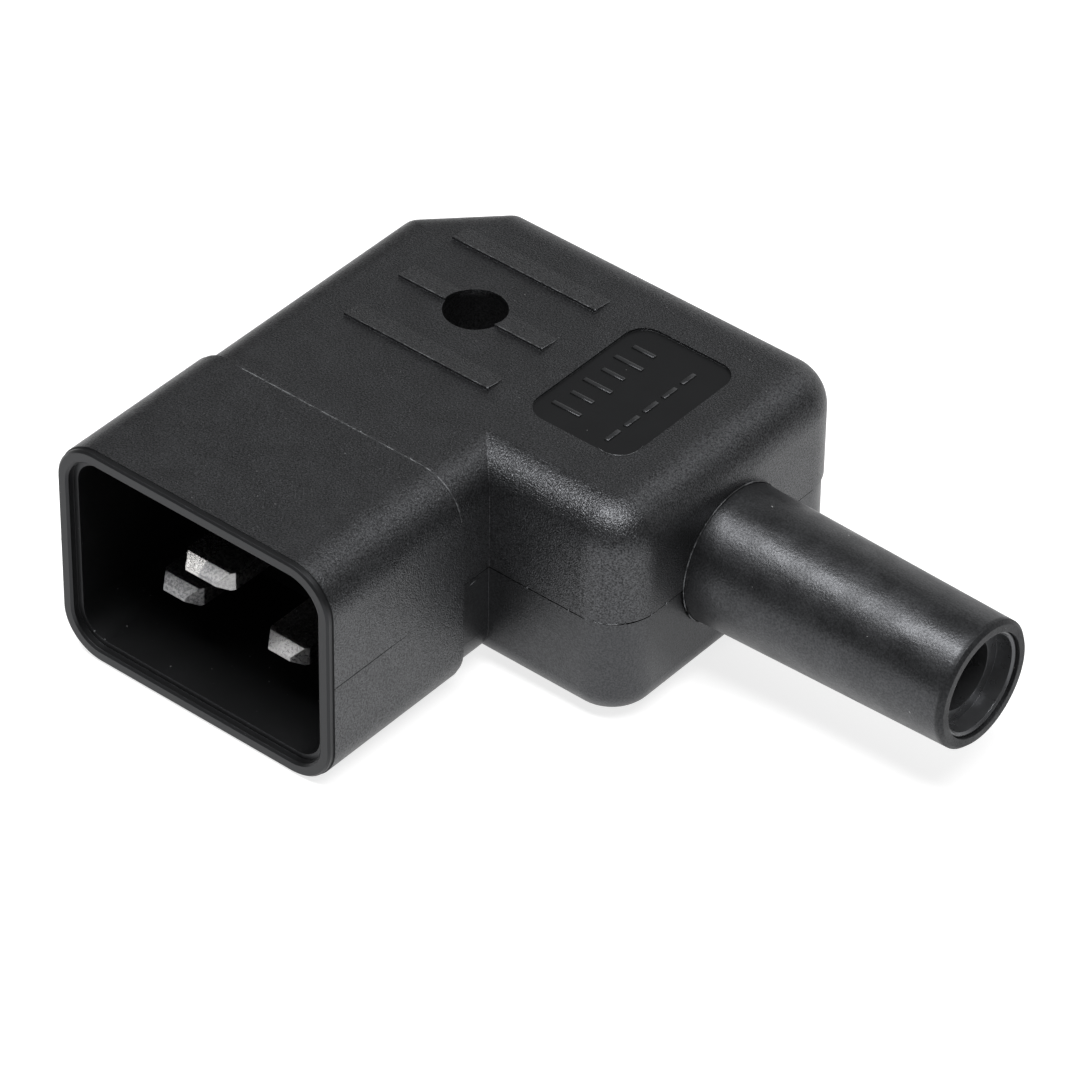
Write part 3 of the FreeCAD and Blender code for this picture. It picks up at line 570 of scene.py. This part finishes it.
def make_shroud_edge():
    """Burr round the shroud's rear edge, over the top and down the cord's side."""
    burr, sunk, past_edge = 0.085 * MM, 0.10 * MM, 0.15 * MM
    nib, nib_rise, nib_places = 0.13 * MM, 0.05 * MM, (2.7, 4.4, 10.4)
    shape = Shape()
    y = SHROUD_EDGE + past_edge
    top = SHROUD_HIGH.z - sunk
    bend = Vector((SHROUD_HIGH.x - SHROUD_CORNER, y, SHROUD_HIGH.z - SHROUD_CORNER))
    points = straight(Vector((-bend.x, y, top)), Vector((bend.x, y, top)), 16)
    points += arc(bend, SHROUD_CORNER - sunk, 88, 4, 10, axes=(X_AXIS, Z_AXIS))
    shape.line(points, burr)
    for x in nib_places:
        shape.bead(Vector((x * MM, y, top + nib_rise)), nib)
    shape.make_piece("shroud_edge", FLASH_PAINTED_GLINTS)


def make_seam_nibs():
    """Nibs of flash in the joint of the two shells, round the arm, and a scuff beside it."""
    burr, level = 0.05 * MM, -0.06 * MM
    front_nib, round_nib, end_nib = 0.10 * MM, 0.11 * MM, 0.14 * MM
    scuff_x = SHROUD_HIGH.x - 0.525 * MM
    shape = Shape()
    for x in (20.7, 25.6):
        shape.bead(Vector((x * MM, ARM_FRONT, level)), front_nib)
    bend = Vector((ARM_END - ARM_FRONT_ROUND, ARM_FRONT + ARM_FRONT_ROUND, level))
    shape.line(arc(bend, ARM_FRONT_ROUND, -88, -40, 8), burr)
    for degrees in (-72, -38, -5):
        shape.bead(on_circle(bend, ARM_FRONT_ROUND, degrees), round_nib)
    shape.bead(Vector((ARM_END, 29.4 * MM, level)), end_nib)
    scuff = ((19.9, -0.6), (20.7, -0.5), (21.6, -0.55))
    shape.line([Vector((scuff_x, y * MM, z * MM)) for y, z in scuff], burr)
    shape.make_piece("seam_nibs", FLASH_PAINTED_GLINTS)


def make_lip_nibs():
    """Flash where the mould parts at the mouth, and two nibs at a lower corner of the lip."""
    shape = Shape()
    shape.bead(Vector((SHROUD_LOW.x + 0.1 * MM, 0.4 * MM, -0.2 * MM)), 0.16 * MM)
    for place, radius in (((-13.2, 0.7, -9.7), 0.12), ((-11.9, 0.7, -10.0), 0.09)):
        shape.bead(Vector(place) * MM, radius * MM)
    shape.make_piece("lip_nibs", FLASH_PAINTED_GLINTS)


def make_recess_edge():
    """Burr round the rim of the recess, at the corner near the cord and the front."""
    shape = Shape()
    bend = Vector((RECESS_HIGH.x - RECESS_CORNER, RECESS_LOW.y + RECESS_CORNER, DECK))
    shape.line(arc(bend, RECESS_CORNER, -112, 20, 12), 0.045 * MM)
    shape.make_piece("recess_edge", FLASH_PAINTED_GLINTS)


def make_recess_bars():
    """Two columns of plain raised bars, in place of any marking: the first lie across the
    recess, long and short in turn, and the second lie along it."""
    width, height = 0.5 * MM, 0.14 * MM
    across_x, across_start, across_pitch = 15.9 * MM, 2.9 * MM, 2.25 * MM
    across_lengths = (3.3 * MM, 2.6 * MM)
    along_x, along_start, along_pitch = 21.6 * MM, 2.6 * MM, 2.75 * MM
    along_length = 1.9 * MM
    shape = Shape()
    level = DECK - RECESS_DEPTH
    for row in range(6):
        centre = Vector((across_x, RECESS_LOW.y + across_start + across_pitch * row, level))
        shape.bar(centre, X_AXIS, across_lengths[row % 2], width, height)
    for row in range(5):
        centre = Vector((along_x, RECESS_LOW.y + along_start + along_pitch * row, level))
        shape.bar(centre, Y_AXIS, along_length, width, height)
    shape.make_piece("recess_bars", RAISED)


def make_sleeve_ring():
    """Raised ring where the sleeve leaves the housing."""
    bead, stand_off, past_end = 0.07 * MM, 0.10 * MM, 0.02 * MM
    shape = Shape()
    centre = Vector((ARM_END + past_end, CORD_Y, 0))
    shape.line(arc(centre, SLEEVE_ROOT + stand_off, 0, 360, 48, axes=(Y_AXIS, Z_AXIS)), bead)
    shape.make_piece("sleeve_ring", FLASH_PAINTED_GLINTS)


# ---------------------------------------------------------------- floor, light and camera


def make_floor():
    """White floor that the connector lies on. Its own grey lights the object. The camera sees it
    lighter, and so do reflections, which see its plain grey only far behind the connector."""
    half, level = FLOOR_HALF, CAD_LOW.z - FLOOR_GAP
    corners = [(x * half, y * half, level) for x, y in ((-1, -1), (1, -1), (1, 1), (-1, 1))]
    mesh = bpy.data.meshes.new("floor")
    mesh.from_pydata(corners, [], [(0, 1, 2, 3)])
    floor = link(bpy.data.objects.new("floor", mesh))
    graph = new_material("floor_white")
    rays = graph.node("ShaderNodeLightPath")
    y = graph.axes(graph.place())[1]
    gloss = graph.math("MULTIPLY", rays.outputs["Is Glossy Ray"],
                       graph.ramp(y, FLOOR_GLOSS_FRONT, FLOOR_GLOSS_REAR, FLOOR_GLOSS, 0.0))
    lift = graph.math("MULTIPLY_ADD", rays.outputs["Is Camera Ray"], FLOOR_SEEN, gloss)
    diffuse = graph.node("ShaderNodeBsdfDiffuse", Color=grey(FLOOR_GREY))
    glow = graph.node("ShaderNodeEmission", Color=grey(1.0), Strength=lift)
    both = graph.node("ShaderNodeAddShader")
    graph.feed(both, 0, diffuse.outputs[0])
    graph.feed(both, 1, glow.outputs[0])
    graph.feed(graph.output, "Surface", both.outputs[0])
    mesh.materials.append(graph.owner)


def make_world():
    """White to the camera; to the object a grey room that is lighter overhead and to the rear."""
    world = bpy.data.worlds.new("studio")
    bpy.context.scene.world = world
    graph = Graph(world, "ShaderNodeOutputWorld")
    direction = graph.node("ShaderNodeTexCoord").outputs["Generated"]
    _, rearwards, upwards = graph.axes(direction)
    room = graph.ramp(upwards, 0.0, 1.0, ROOM_LEVEL, ROOM_OVERHEAD, smooth=False)
    rear = graph.ramp(rearwards, REAR_START, REAR_FULL, 0.0, REAR_GLOW, smooth=False)
    light = graph.math("ADD", room, rear)
    is_camera = graph.node("ShaderNodeLightPath").outputs["Is Camera Ray"]
    seen = graph.mix(is_camera, light, 1.0, kind="FLOAT")
    background = graph.node("ShaderNodeBackground", Color=grey(1.0), Strength=seen)
    graph.feed(graph.output, "Surface", background.outputs[0])


def soft_box(name, direction, width, height, strength):
    """Rectangular soft light that looks at the connector from a direction."""
    data = bpy.data.lights.new(name, "AREA")
    data.shape = "RECTANGLE"
    data.size = width
    data.size_y = height
    data.energy = strength * width * height * math.pi
    lamp = link(bpy.data.objects.new(name, data))
    outwards = Vector(direction).normalized()
    lamp.location = (CAD_LOW + CAD_HIGH) / 2 + outwards * LAMP_DISTANCE
    lamp.rotation_mode = "QUATERNION"
    lamp.rotation_quaternion = outwards.to_track_quat("Z", "Y")


def make_camera():
    """Long lens from the front right, above."""
    azimuth = math.radians(CAMERA_AZIMUTH)
    elevation = math.radians(CAMERA_ELEVATION)
    roll = math.radians(CAMERA_ROLL)
    right = Vector((math.cos(azimuth), math.sin(azimuth), 0))
    forward = Vector((-math.sin(azimuth) * math.cos(elevation),
                      math.cos(azimuth) * math.cos(elevation), -math.sin(elevation)))
    up = right.cross(forward)
    side = right * math.cos(roll) + up * math.sin(roll)
    top = up * math.cos(roll) - right * math.sin(roll)
    data = bpy.data.cameras.new("camera")
    data.sensor_width = CAMERA_SENSOR
    data.lens = CAMERA_LENS
    data.clip_start = CAMERA_NEAR
    data.clip_end = CAMERA_FAR
    camera = link(bpy.data.objects.new("camera", data))
    turned = Matrix((side, top, -forward)).transposed().to_4x4()
    camera.matrix_world = Matrix.Translation(CAMERA_PLACE) @ turned
    bpy.context.scene.camera = camera


make_grip_edges()
make_shroud_edge()
make_seam_nibs()
make_lip_nibs()
make_recess_edge()
make_recess_bars()
make_sleeve_ring()
make_floor()
make_world()
soft_box("overhead", direction=(0.03, -0.23, 0.98), width=1.20, height=0.36, strength=10.2)
soft_box("back", direction=(0.26, 0.56, 0.79), width=0.50, height=0.35, strength=1.8)
make_camera()
bpy.context.scene.view_settings.view_transform = "Standard"
